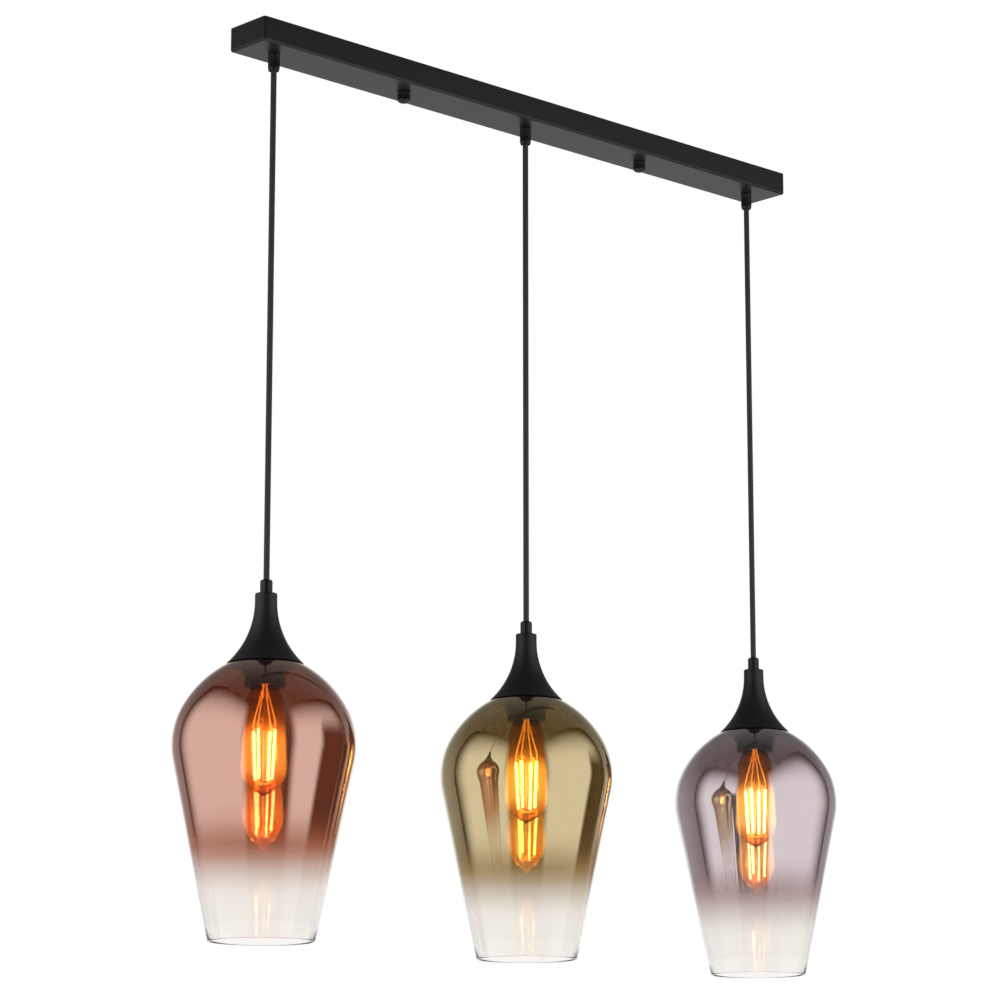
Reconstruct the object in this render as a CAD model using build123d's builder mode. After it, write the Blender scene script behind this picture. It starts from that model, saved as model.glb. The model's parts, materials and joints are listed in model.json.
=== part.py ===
from build123d import *
import os
from math import asin, atan2, cos, degrees, radians, sin, sqrt, tan

# Linear pendant light: a long ceiling canopy with three glass shades hanging on cables.
# Millimetres, +Z up. The origin is on the ceiling, at the middle of the canopy.

# Layout
pendant_spacing = 350.0  # between neighbouring cables
cover_drop = 577.0  # ceiling to the top of a shade's cover
pendant_x = {"left": -pendant_spacing, "middle": 0.0, "right": pendant_spacing}

# Fits
screw_clearance = 0.05  # radial, screw in its thread
seat_clearance = 0.2  # pieces that rest on each other along a curve
moving_clearance = 0.3  # around what turns or slides
hole_clearance = 0.2  # radial, stem or bolt in a plain hole

# Canopy: folded sheet steel, open towards the ceiling
canopy_end_margin = 35.0  # from an outer cable to the canopy's end
canopy_length = 2 * (pendant_spacing + canopy_end_margin)
canopy_width = 55.0
canopy_height = 25.0
canopy_sheet = 1.2
canopy_bend = 2.6  # outside radius of the folds

# Ceiling bracket: a bent strip under the ceiling, with slots for the ceiling screws
bracket_width = 24.0
bracket_sheet = 2.0
bracket_flat = 290.0  # length of the stretch that lies on the ceiling
bracket_step = 7.0  # how far the two ends drop
bracket_step_run = 10.0
bracket_bend = 2.0
bracket_end = 20.0  # past each stud
slot_spacing = 220.0
slot_width = 4.5
slot_length = 14.0

# Studs and knurled cap nuts that hold the canopy up, midway between the cables
stud_x = pendant_spacing / 2
stud_radius = 2.5
stud_head_radius = 4.5
stud_head_height = 3.0
stud_below_canopy = 8.0
stud_nut_flats = 8.0
stud_nut_height = 4.0
cap_nut_radius = 6.75
cap_nut_height = 12.0
cap_nut_dome = 3.5  # height of the domed end
cap_nut_edge = 0.6

# Cable
cable_radius = 3.0
swing_angle = 23.0  # half angle of the bell mouth that lets the cable swing

# Cord grips under the canopy
grip_radius = 6.0
grip_length = 18.5
grip_taper = 4.0  # length of the tapered lower end
grip_end_radius = 5.4
grip_stem_radius = 5.0
grip_stem_length = 6.2  # through the canopy and its nut
grip_nut_flats = 14.0
grip_nut_height = 4.0
grip_screw_radius = 1.5
grip_screw_drop = 6.5  # below the canopy
grip_screw_recess = 0.3
pivot_height = 3.2  # swing centre above the grip's mouth
mouth_lead = 0.5  # the bell mouth starts this far above the swing centre

# Terminal block and the bracket's screws
block_x = 70.0
block_length = 20.0
block_width = 34.0
block_height = 16.0
pole_spacing = 11.0
pole_bore_radius = 2.0
pole_screw_radius = 2.0
pole_screw_offset = 5.0
pole_screw_length = 5.5
pole_screw_recess = 0.5
bracket_screw_radius = 2.0
bracket_screw_head_radius = 3.5
bracket_screw_head_height = 2.6
earth_screw_x = -60.0

# Cord grip on a shade's cover
cover_grip_radius = 6.1
cover_grip_height = 13.4
cover_grip_round = 2.2
cover_grip_thread_depth = 8.0
cover_grip_screw_radius = 1.25
cover_grip_screw_height = 9.9
nipple_radius = 5.0
nipple_bore_radius = 3.5
nipple_gap = 0.2  # above the nipple, in the grip
nipple_into_holder = 8.0

# Cover: a spun steel trumpet that sits on the glass
cover_collar_radius = 10.9
cover_collar_length = 8.0
cover_round = 1.2
cover_rim_radius = 37.5
cover_height = 69.4
cover_sheet = 1.2

# Glass shade: flat crown, three arcs of growing turn, straight taper to the mouth
shade_radius = 89.0
shade_wall = 3.0
shade_height = 270.0
shade_hole_radius = 21.0
shade_taper = 11.8  # half angle of the lower cone
belly_radius = 77.0
shoulder_radius = 105.0
crown_radius = 15.0
crown_turn = 26.0  # slope where the crown's edge runs into the shoulder
shoulder_turn = 60.0  # slope where the shoulder runs into the belly
shade_rim_round = 1.3

# Lampholder, its brass parts and the shade ring
holder_boss_radius = 8.5
holder_boss_height = 6.0
holder_cone_height = 14.0
holder_neck_height = 6.0  # cylinder between the cone and the flange
holder_radius = 20.0
holder_flange_radius = 26.0
holder_flange = 3.0
holder_below_crown = 24.0
holder_roof = 8.0  # depth of the roof below the nipple's end
sleeve_radius = 14.0
sleeve_wall = 0.6
sleeve_top_gap = 3.0
sleeve_bottom_gap = 3.0
contact_radius = 6.0
contact_height = 0.8
ring_flange = 2.5
ring_edge_gap = 0.4  # ring flange inside the crown's flat
ring_skirt_radius = 23.0
ring_height = 9.0

# Screw-base bulb with a slim pointed envelope
cap_tip_radius = 4.0
cap_tip_height = 1.0
cap_cone_radius = 9.0
cap_cone_height = 2.5
cap_shoulder_height = 1.5
cap_length = 24.0
cap_wall = 0.7
cap_socket = 10.0  # how deep the glass neck sits in the cap
bulb_neck_wall = 0.9
bulb_neck_below_cap = 4.0
bulb_flare_radius = 12.0
bulb_flare_turn = 35.0
bulb_shoulder_radius = 28.0
bulb_side_lean = 3.0
bulb_side_length = 59.0
bulb_end_radius = 26.0
bulb_end_turn = 63.0

# Stem, lead wires and filament sticks inside the bulb
stem_flare_height = 1.5
stem_tube_radius = 3.5
stem_tube_length = 16.0
stem_rod_radius = 1.0
stem_foot_margin = 11.5  # lower end of the rod above the bulb's tip
lead_radius = 0.6
lead_drop = 41.0
lead_root = 2.0  # length of a lead wire inside the stem
hook_root = 0.55  # a hook starts this far from the rod's axis
hook_height = 1.5  # hooks above the rod's lower end
filament_gap = 0.2  # between a filament stick and its wires
filament_count = 4
filament_turn = 22.0  # of the whole set about the bulb's axis
filament_radius = 1.4
filament_top_spread = 12.0
filament_foot_spread = 9.0


def section(x):
    """Upright plane through a pendant's axis: local x is the radius, local y is the height."""
    return Plane(origin=(x, 0, 0), x_dir=(1, 0, 0), z_dir=(0, -1, 0))


def upright(x):
    """Vertical axis of a pendant or a stud."""
    return Axis((x, 0, 0), (0, 0, 1))


def save(piece, name):
    """Labels a finished piece and writes it."""
    piece.part.label = name
    export_step(piece.part, f"parts/{name}.step")


os.makedirs("parts", exist_ok=True)

# Heights in the canopy
canopy_floor = canopy_sheet - canopy_height
canopy_under = -canopy_height
bracket_end_top = -bracket_step
bracket_end_under = -bracket_step - bracket_sheet
studs = (-stud_x, stud_x)

# Canopy
with BuildPart() as canopy:
    with BuildSketch(Plane.XY.offset(canopy_under)):
        Rectangle(canopy_length, canopy_width)
    extrude(amount=canopy_height)
    corners = canopy.edges().filter_by(Axis.Z)
    fillet(corners, canopy_bend)
    fillet(canopy.faces().sort_by(Axis.Z)[0].edges(), canopy_bend)
    offset(amount=-canopy_sheet, openings=canopy.faces().sort_by(Axis.Z)[-1])
    with BuildSketch(Plane.XY.offset(canopy_under)):
        with Locations(*[(x, 0) for x in pendant_x.values()]):
            Circle(grip_stem_radius + hole_clearance)
        with Locations(*[(x, 0) for x in studs]):
            Circle(stud_radius + hole_clearance)
    extrude(amount=canopy_sheet, mode=Mode.SUBTRACT)
save(canopy, "canopy")

# Ceiling bracket
fold_angle = degrees(atan2(bracket_step, bracket_step_run))
fold_shift = bracket_sheet * tan(radians(fold_angle / 2))
flat_x = bracket_flat / 2
step_x = flat_x + bracket_step_run
end_x = stud_x + bracket_end
with BuildPart() as ceiling_bracket:
    with BuildSketch(Plane.XZ) as strip:
        with BuildLine():
            Polyline(
                (-end_x, bracket_end_top),
                (-step_x, bracket_end_top),
                (-flat_x, 0),
                (flat_x, 0),
                (step_x, bracket_end_top),
                (end_x, bracket_end_top),
                (end_x, bracket_end_under),
                (step_x - fold_shift, bracket_end_under),
                (flat_x - fold_shift, -bracket_sheet),
                (fold_shift - flat_x, -bracket_sheet),
                (fold_shift - step_x, bracket_end_under),
                (-end_x, bracket_end_under),
                close=True,
            )
        make_face()
        folds = strip.vertices().filter_by(lambda corner: abs(corner.X) < stud_x)
        fillet(folds, bracket_bend)
    extrude(amount=bracket_width / 2, both=True)
    with BuildSketch(Plane.XY.offset(-bracket_sheet)):
        with Locations((-slot_spacing / 2, 0), (slot_spacing / 2, 0)):
            SlotOverall(slot_length, slot_width)
        with Locations((block_x, pole_spacing / 2), (earth_screw_x, 0)):
            Circle(bracket_screw_radius + screw_clearance)
    extrude(amount=bracket_sheet, mode=Mode.SUBTRACT)
    with BuildSketch(Plane.XY.offset(bracket_end_under)):
        with Locations(*[(x, 0) for x in studs]):
            Circle(stud_radius + screw_clearance)
    extrude(amount=bracket_sheet, mode=Mode.SUBTRACT)
save(ceiling_bracket, "ceiling_bracket")

# Studs, heads above the bracket's ends
with BuildPart() as canopy_studs:
    with BuildSketch(Plane.XY.offset(canopy_under - stud_below_canopy)):
        with Locations(*[(x, 0) for x in studs]):
            Circle(stud_radius)
    extrude(amount=stud_below_canopy + canopy_height + bracket_end_top)
    with BuildSketch(Plane.XY.offset(bracket_end_top)):
        with Locations(*[(x, 0) for x in studs]):
            Circle(stud_head_radius)
    extrude(amount=stud_head_height)
save(canopy_studs, "canopy_studs")

# Hexagon nuts that lock the studs in the bracket
with BuildPart() as stud_nuts:
    with BuildSketch(Plane.XY.offset(bracket_end_under - stud_nut_height)):
        with Locations(*[(x, 0) for x in studs]):
            RegularPolygon(stud_nut_flats / 2, 6, major_radius=False)
            Circle(stud_radius + screw_clearance, mode=Mode.SUBTRACT)
    extrude(amount=stud_nut_height)
save(stud_nuts, "stud_nuts")

# Cap nuts under the canopy
cap_nut_under = canopy_under - cap_nut_height
cap_nut_side = cap_nut_under + cap_nut_dome
with BuildPart() as cap_nuts:
    for x in studs:
        with BuildSketch(section(x)):
            with BuildLine():
                Polyline(
                    (0, cap_nut_under),
                    (0, canopy_under),
                    (cap_nut_radius - cap_nut_edge, canopy_under),
                    (cap_nut_radius, canopy_under - cap_nut_edge),
                    (cap_nut_radius, cap_nut_side),
                )
                EllipticalCenterArc(
                    (0, cap_nut_side),
                    cap_nut_radius,
                    cap_nut_dome,
                    start_angle=270,
                    arc_size=90,
                )
            make_face()
        revolve(axis=upright(x))
    with BuildSketch(Plane.XY.offset(canopy_under)):
        with Locations(*[(x, 0) for x in studs]):
            Circle(stud_radius + screw_clearance)
    extrude(amount=-stud_below_canopy - seat_clearance, mode=Mode.SUBTRACT)
save(cap_nuts, "cap_nuts")

# Terminal block under the bracket, with a bore and two screws at each pole
block_top = -bracket_sheet
block_under = block_top - block_height
block_left = block_x - block_length / 2
block_right = block_x + block_length / 2
pole_z = block_top - block_height / 2
poles = (-pole_spacing, 0.0, pole_spacing)
pole_screws = [(block_x + side * pole_screw_offset, y) for y in poles for side in (-1, 1)]
well_depth = pole_screw_recess + pole_screw_length
with BuildPart() as terminal_block:
    with BuildSketch(Plane.XY.offset(block_under)):
        with Locations((block_x, 0)):
            Rectangle(block_length, block_width)
    extrude(amount=block_height)
    with BuildSketch(Plane.YZ.offset(block_left)):
        with Locations(*[(y, pole_z) for y in poles]):
            Circle(pole_bore_radius)
    extrude(amount=block_length, mode=Mode.SUBTRACT)
    with BuildSketch(Plane.XY.offset(block_under)):
        with Locations(*pole_screws):
            Circle(pole_screw_radius + screw_clearance)
    extrude(amount=well_depth, mode=Mode.SUBTRACT)
    with BuildSketch(Plane.XY.offset(block_under)):
        with Locations((block_x, pole_spacing / 2)):
            Circle(bracket_screw_radius + screw_clearance)
    extrude(amount=block_height, mode=Mode.SUBTRACT)
save(terminal_block, "terminal_block")

with BuildPart() as terminal_screws:
    with BuildSketch(Plane.XY.offset(block_under + pole_screw_recess)):
        with Locations(*pole_screws):
            Circle(pole_screw_radius)
    extrude(amount=pole_screw_length)
save(terminal_screws, "terminal_screws")

# Pan head screws in the bracket: one holds the terminal block, one is the earth terminal
with BuildPart() as bracket_screws:
    for x, y, seat in ((block_x, pole_spacing / 2, block_under), (earth_screw_x, 0, block_top)):
        with BuildSketch(Plane.XY.offset(seat)):
            with Locations((x, y)):
                Circle(bracket_screw_radius)
        extrude(amount=-seat)
        with BuildSketch(Plane.XY.offset(seat)):
            with Locations((x, y)):
                Circle(bracket_screw_head_radius)
        extrude(amount=-bracket_screw_head_height)
save(bracket_screws, "bracket_screws")

# Canopy cord grips, with a bell mouth below and a threaded stem through the canopy
bore_radius = cable_radius + moving_clearance
grip_mouth = canopy_under - grip_length
pivot_z = grip_mouth + pivot_height
mouth_radius = bore_radius + (pivot_height + mouth_lead) * tan(radians(swing_angle))
stem_top = canopy_under + grip_stem_length
grip_screw_z = canopy_under - grip_screw_drop
with BuildPart() as canopy_grips:
    for x in pendant_x.values():
        with BuildSketch(section(x)):
            with BuildLine():
                Polyline(
                    (bore_radius, stem_top),
                    (grip_stem_radius, stem_top),
                    (grip_stem_radius, canopy_under),
                    (grip_radius, canopy_under),
                    (grip_radius, grip_mouth + grip_taper),
                    (grip_end_radius, grip_mouth),
                    (mouth_radius, grip_mouth),
                    (bore_radius, pivot_z + mouth_lead),
                    close=True,
                )
            make_face()
        revolve(axis=upright(x))
        with BuildSketch(Plane(origin=(x, 0, grip_screw_z), z_dir=(0, 1, 0))):
            Circle(grip_screw_radius + screw_clearance)
        extrude(amount=grip_radius, mode=Mode.SUBTRACT)
save(canopy_grips, "canopy_grips")

with BuildPart() as grip_nuts:
    with BuildSketch(Plane.XY.offset(canopy_floor)):
        with Locations(*[(x, 0) for x in pendant_x.values()]):
            RegularPolygon(grip_nut_flats / 2, 6, major_radius=False)
            Circle(grip_stem_radius + screw_clearance, mode=Mode.SUBTRACT)
    extrude(amount=grip_nut_height)
save(grip_nuts, "grip_nuts")

# Clamping screws at the back of the canopy grips, tight on the cable
with BuildPart() as grip_screws:
    for x in pendant_x.values():
        start = cable_radius + screw_clearance
        with BuildSketch(Plane(origin=(x, start, grip_screw_z), z_dir=(0, 1, 0))):
            Circle(grip_screw_radius)
        extrude(amount=grip_radius - grip_screw_recess - start)
save(grip_screws, "grip_screws")

# Cable tails from the grips to the terminal block, inside the canopy.
# Each route is points chosen by hand, with the radius of the arc at each corner.
tail_start = pivot_z + cable_radius + moving_clearance
tail_routes = {
    "left": (
        [
            (-pendant_spacing, 0, tail_start),
            (-pendant_spacing, 0, -5.5),
            (46 - pendant_spacing, 8, -7.5),
            (100 - pendant_spacing, 19, -13),
            (-160, 20, -15),
            (-60, 19, -14),
            (10, 14, -11),
            (36, pole_spacing, pole_z),
            (block_left, pole_spacing, pole_z),
        ],
        [12.5, 60, 60, 150, 150, 60, 60],
    ),
    "middle": (
        [
            (0, 0, tail_start),
            (0, 0, -6),
            (30, 0, pole_z),
            (block_left, 0, pole_z),
        ],
        [12.5, 60],
    ),
    "right": (
        [
            (pendant_spacing, 0, tail_start),
            (pendant_spacing, 0, -5.5),
            (pendant_spacing - 46, -8, -7.5),
            (pendant_spacing - 100, -19, -13),
            (160, -20, -14),
            (112, -pole_spacing, pole_z),
            (block_right, -pole_spacing, pole_z),
        ],
        [12.5, 60, 60, 100, 60],
    ),
}
for side, (points, radii) in tail_routes.items():
    with BuildPart() as cable_tail:
        with BuildLine() as route:
            FilletPolyline(*points, radius=radii)
        with BuildSketch(Plane(origin=points[0], z_dir=(0, 0, 1))):
            Circle(cable_radius)
        sweep()
    save(cable_tail, f"cable_tail_{side}")
    expected = Circle(cable_radius, mode=Mode.PRIVATE).area * route.wires()[0].length
    print(f"cable_tail_{side}: radii {radii}, volume share {cable_tail.part.volume / expected:.4f}")

# Heights along a pendant
cover_top = -cover_drop
cover_grip_top = cover_top + cover_grip_height
nipple_top = cover_top + cover_grip_thread_depth - nipple_gap

# Cover: the flare is an arc that leaves the collar upright and ends at the rim
flare_drop = cover_height - cover_collar_length
flare_spread = cover_rim_radius - cover_collar_radius
flare_radius = (flare_drop**2 + flare_spread**2) / (2 * flare_spread)
flare_centre = cover_collar_radius + flare_radius
flare_inside = flare_radius + cover_sheet
rim_inside = flare_centre - sqrt(flare_inside**2 - flare_drop**2)
collar_foot = cover_top - cover_collar_length
cover_rim = cover_top - cover_height
collar_inside = cover_collar_radius - cover_sheet

# Glass: arcs share tangents, so their centres follow from the widest radius.
# The shoulder carries the cover's rim, which sets the height of the whole shade.
belly_centre = shade_radius - belly_radius
shoulder_offset = shoulder_radius - belly_radius
shoulder_centre = belly_centre - shoulder_offset * sin(radians(shoulder_turn))
crown_offset = shoulder_radius - crown_radius
crown_flat = shoulder_centre + crown_offset * sin(radians(crown_turn))
seat_slope = asin((rim_inside - shoulder_centre) / shoulder_radius)
shoulder_z = cover_rim - seat_clearance - shoulder_radius * cos(seat_slope)
crown_z = shoulder_z + crown_offset * cos(radians(crown_turn)) + crown_radius
mouth_z = crown_z - shade_height
crown_inside = crown_z - shade_wall

# Lampholder and bulb, worked down from the glass crown
flange_top = crown_z + holder_flange
cone_foot = flange_top + holder_neck_height
boss_foot = cone_foot + holder_cone_height
boss_top = boss_foot + holder_boss_height
nipple_foot = boss_top - nipple_into_holder
holder_roof_z = nipple_foot - holder_roof
holder_foot = crown_z - holder_below_crown
contact_under = holder_roof_z - contact_height
cap_radius = sleeve_radius - sleeve_wall - moving_clearance
cap_tip_z = contact_under - moving_clearance
cap_cone_z = cap_tip_z - cap_tip_height
cap_shoulder_z = cap_cone_z - cap_cone_height
cap_side_z = cap_shoulder_z - cap_shoulder_height
cap_foot = cap_side_z - cap_length
socket_roof = cap_foot + cap_socket
neck_radius = cap_radius - cap_wall - screw_clearance
neck_foot = cap_foot - bulb_neck_below_cap


def shade_outline(inset):
    """Half outline of the glass, closed along the hole's wall, drawn in by the wall's share."""
    top = crown_z - inset
    slope = radians(shade_taper)
    crown = Line((shade_hole_radius, top), (crown_flat, top))
    edge = JernArc(crown @ 1, (1, 0), crown_radius - inset, -crown_turn)
    turn = crown_turn - shoulder_turn
    shoulder = JernArc(edge @ 1, edge % 1, shoulder_radius - inset, turn)
    belly = JernArc(shoulder @ 1, shoulder % 1, belly_radius - inset, shoulder_turn - 90 - shade_taper)
    foot = (belly @ 1).X - ((belly @ 1).Y - mouth_z) * tan(slope)
    Polyline(belly @ 1, (foot, mouth_z), (shade_hole_radius, mouth_z), crown @ 0)


def bulb_outline(inset):
    """Half outline of the bulb's envelope, from the neck to the tip on the axis."""
    neck = Line((neck_radius - inset, socket_roof), (neck_radius - inset, neck_foot))
    flare = JernArc(neck @ 1, (0, -1), bulb_flare_radius + inset, bulb_flare_turn)
    round_in = bulb_side_lean - bulb_flare_turn
    shoulder = JernArc(flare @ 1, flare % 1, bulb_shoulder_radius - inset, round_in)
    wall = Line(shoulder @ 1, (shoulder @ 1) + (shoulder % 1) * bulb_side_length)
    end = JernArc(wall @ 1, wall % 1, bulb_end_radius - inset, -bulb_end_turn)
    tip = (end @ 1).Y - (end @ 1).X / tan(radians(bulb_end_turn - bulb_side_lean))
    Polyline(end @ 1, (0, tip), (0, socket_roof), neck @ 0)


def rod(start, end, radius):
    """Straight round wire between two points, added to the part being made."""
    line = Vector(*end) - Vector(*start)
    with Locations(Plane(origin=start, z_dir=line)):
        Cylinder(radius, line.length, align=(Align.CENTER, Align.CENTER, Align.MIN))


def spot(x, out, radius, z):
    """Point at a radius from a pendant's axis, in one of the directions around it."""
    return (x + out.X * radius, out.Y * radius, z)


cable_top = pivot_z - cable_radius - moving_clearance
print(f"swing centre z {pivot_z:.2f}, cable {cable_top:.2f} to {cover_grip_top:.2f}")
print(f"crown z {crown_z:.2f}, mouth z {mouth_z:.2f}, holder foot z {holder_foot:.2f}")

for side, x in pendant_x.items():
    plane = section(x)
    axis = upright(x)

    # Cable: a ball at the swing centre, the straight hanging length, and the end inside the cover
    with BuildPart() as cable_neck:
        with Locations((x, 0, pivot_z)):
            Sphere(cable_radius)
    save(cable_neck, f"cable_neck_{side}")

    with BuildPart() as cable:
        with BuildSketch(Plane.XY.offset(cover_grip_top)):
            with Locations((x, 0)):
                Circle(cable_radius)
        extrude(amount=cable_top - cover_grip_top)
    save(cable, f"cable_{side}")

    with BuildPart() as cable_end:
        with BuildSketch(Plane.XY.offset(holder_roof_z)):
            with Locations((x, 0)):
                Circle(cable_radius)
        extrude(amount=cover_grip_top - holder_roof_z)
    save(cable_end, f"cable_end_{side}")

    # Cord grip on the cover, with its clamping screw at the back
    with BuildPart() as cover_grip:
        with BuildSketch(plane):
            with BuildLine():
                shoulder_z_grip = cover_grip_top - cover_grip_round
                Polyline(
                    (cover_grip_radius - cover_grip_round, cover_grip_top),
                    (bore_radius, cover_grip_top),
                    (bore_radius, cover_top + cover_grip_thread_depth),
                    (nipple_radius + screw_clearance, cover_top + cover_grip_thread_depth),
                    (nipple_radius + screw_clearance, cover_top),
                    (cover_grip_radius, cover_top),
                    (cover_grip_radius, shoulder_z_grip),
                )
                CenterArc(
                    (cover_grip_radius - cover_grip_round, shoulder_z_grip),
                    cover_grip_round,
                    start_angle=0,
                    arc_size=90,
                )
            make_face()
        revolve(axis=axis)
        with BuildSketch(Plane(origin=(x, 0, cover_top + cover_grip_screw_height), z_dir=(0, 1, 0))):
            Circle(cover_grip_screw_radius + screw_clearance)
        extrude(amount=cover_grip_radius, mode=Mode.SUBTRACT)
    save(cover_grip, f"cover_grip_{side}")

    with BuildPart() as cover_grip_screw:
        start = cable_radius + screw_clearance
        screw_z = cover_top + cover_grip_screw_height
        with BuildSketch(Plane(origin=(x, start, screw_z), z_dir=(0, 1, 0))):
            Circle(cover_grip_screw_radius)
        extrude(amount=cover_grip_radius - grip_screw_recess - start)
    save(cover_grip_screw, f"cover_grip_screw_{side}")

    # Threaded nipple from the grip through the cover into the lampholder
    with BuildPart() as nipple:
        with BuildSketch(Plane.XY.offset(nipple_foot)):
            with Locations((x, 0)):
                Circle(nipple_radius)
                Circle(nipple_bore_radius, mode=Mode.SUBTRACT)
        extrude(amount=nipple_top - nipple_foot)
    save(nipple, f"nipple_{side}")

    # Cover
    with BuildPart() as cover:
        with BuildSketch(plane):
            with BuildLine():
                Line((cover_rim_radius, cover_rim), (rim_inside, cover_rim))
                ThreePointArc(
                    (rim_inside, cover_rim),
                    (
                        flare_centre - sqrt(flare_inside**2 - (flare_drop / 2) ** 2),
                        collar_foot - flare_drop / 2,
                    ),
                    (collar_inside, collar_foot),
                )
                Polyline(
                    (collar_inside, collar_foot),
                    (collar_inside, cover_top - cover_sheet),
                    (nipple_radius + hole_clearance, cover_top - cover_sheet),
                    (nipple_radius + hole_clearance, cover_top),
                    (cover_collar_radius - cover_round, cover_top),
                )
                CenterArc(
                    (cover_collar_radius - cover_round, cover_top - cover_round),
                    cover_round,
                    start_angle=0,
                    arc_size=90,
                )
                Line((cover_collar_radius, cover_top - cover_round), (cover_collar_radius, collar_foot))
                TangentArc(
                    (cover_collar_radius, collar_foot),
                    (cover_rim_radius, cover_rim),
                    tangent=(0, -1),
                )
            make_face()
        revolve(axis=axis)
    save(cover, f"cover_{side}")

    # Lampholder: boss, cone, clamping flange and skirt around the socket
    with BuildPart() as holder:
        with BuildSketch(plane):
            with BuildLine():
                Polyline(
                    (nipple_radius + screw_clearance, boss_top),
                    (holder_boss_radius, boss_top),
                    (holder_boss_radius, boss_foot),
                    (holder_radius, cone_foot),
                    (holder_radius, flange_top),
                    (holder_flange_radius, flange_top),
                    (holder_flange_radius, crown_z),
                    (holder_radius, crown_z),
                    (holder_radius, holder_foot),
                    (sleeve_radius + screw_clearance, holder_foot),
                    (sleeve_radius + screw_clearance, holder_roof_z),
                    (nipple_bore_radius, holder_roof_z),
                    (nipple_bore_radius, nipple_foot),
                    (nipple_radius + screw_clearance, nipple_foot),
                    close=True,
                )
            make_face()
        revolve(axis=axis)
    save(holder, f"holder_{side}")

    # Threaded sleeve and centre contact of the lampholder
    with BuildPart() as holder_contacts:
        sleeve_foot = holder_foot + sleeve_bottom_gap
        with BuildSketch(Plane.XY.offset(sleeve_foot)):
            with Locations((x, 0)):
                Circle(sleeve_radius)
                Circle(sleeve_radius - sleeve_wall, mode=Mode.SUBTRACT)
        extrude(amount=holder_roof_z - sleeve_top_gap - sleeve_foot)
        with BuildSketch(Plane.XY.offset(contact_under)):
            with Locations((x, 0)):
                Circle(contact_radius)
        extrude(amount=contact_height)
    save(holder_contacts, f"holder_contacts_{side}")

    # Shade ring, screwed up the holder's skirt against the inside of the glass
    with BuildPart() as shade_ring:
        with BuildSketch(plane):
            with BuildLine():
                Polyline(
                    (holder_radius + screw_clearance, crown_inside),
                    (crown_flat - ring_edge_gap, crown_inside),
                    (crown_flat - ring_edge_gap, crown_inside - ring_flange),
                    (ring_skirt_radius, crown_inside - ring_flange),
                    (ring_skirt_radius, crown_inside - ring_height),
                    (holder_radius + screw_clearance, crown_inside - ring_height),
                    close=True,
                )
            make_face()
        revolve(axis=axis)
    save(shade_ring, f"shade_ring_{side}")

    # Glass shade
    with BuildPart() as shade:
        with BuildSketch(plane):
            with BuildLine():
                shade_outline(0)
            make_face()
            with BuildLine():
                shade_outline(shade_wall)
            make_face(mode=Mode.SUBTRACT)
        revolve(axis=axis)
        mouth = shade.faces().sort_by(Axis.Z)[0]
        fillet(mouth.edges(), shade_rim_round)
    save(shade, f"shade_{side}")

    # Bulb: metal cap, glass envelope, stem with lead wires, filament sticks
    with BuildPart() as bulb_cap:
        with BuildSketch(plane):
            with BuildLine():
                Polyline(
                    (0, cap_tip_z),
                    (cap_tip_radius, cap_tip_z),
                    (cap_tip_radius, cap_cone_z),
                    (cap_cone_radius, cap_shoulder_z),
                    (cap_radius, cap_side_z),
                    (cap_radius, cap_foot),
                    (cap_radius - cap_wall, cap_foot),
                    (cap_radius - cap_wall, socket_roof + seat_clearance),
                    (0, socket_roof + seat_clearance),
                    close=True,
                )
            make_face()
        revolve(axis=axis)
    save(bulb_cap, f"bulb_cap_{side}")

    with BuildPart() as bulb_glass:
        with BuildSketch(plane):
            with BuildLine():
                bulb_outline(0)
            make_face()
            with BuildLine():
                bulb_outline(bulb_neck_wall)
            make_face(mode=Mode.SUBTRACT)
        revolve(axis=axis)
    save(bulb_glass, f"bulb_glass_{side}")

    bulb_tip = bulb_glass.part.bounding_box().min.Z
    stem_foot = bulb_tip + stem_foot_margin
    hook_z = stem_foot + hook_height
    tube_foot = socket_roof - stem_tube_length
    lead_foot = tube_foot - lead_drop
    flare_rim = neck_radius - bulb_neck_wall - screw_clearance
    directions = [place.position for place in PolarLocations(1, filament_count, filament_turn)]
    with BuildPart() as bulb_stem:
        with BuildSketch(plane):
            with BuildLine():
                Polyline(
                    (0, socket_roof),
                    (flare_rim, socket_roof),
                    (flare_rim, socket_roof - stem_flare_height),
                    (stem_tube_radius, socket_roof - stem_flare_height),
                    (stem_tube_radius, tube_foot),
                    (stem_rod_radius, tube_foot),
                    (stem_rod_radius, stem_foot),
                    (0, stem_foot),
                    close=True,
                )
            make_face()
        revolve(axis=axis)
        for out in directions:
            top = spot(x, out, stem_tube_radius / 2, tube_foot + lead_root)
            rod(top, spot(x, out, filament_top_spread, lead_foot), lead_radius)
            hook = spot(x, out, hook_root, hook_z)
            rod(hook, spot(x, out, filament_foot_spread, hook_z), lead_radius)
    save(bulb_stem, f"bulb_stem_{side}")

    with BuildPart() as bulb_filaments:
        for out in directions:
            top = spot(x, out, filament_top_spread, lead_foot - filament_gap - lead_radius)
            foot = spot(x, out, filament_foot_spread, hook_z + lead_radius + filament_gap)
            rod(top, foot, filament_radius)
    save(bulb_filaments, f"bulb_filaments_{side}")

print(f"bulb tip z {bulb_tip:.2f}, bulb cap foot z {cap_foot:.2f}, cap side z {cap_side_z:.2f}")
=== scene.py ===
# %% [markdown]
# A linear pendant light in Blender
#
# Three glass shades hang on cables from one long black canopy. The sizes, joints and hidden fittings come
# from a CAD model, which is loaded first and never moved. What is made here is what the eye judges: the
# finish of every surface, smooth glass, the cables, and small turned and threaded detail.

# %% Load the frame
import json
from math import cos, pi, radians, sin, sqrt, tan

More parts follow.
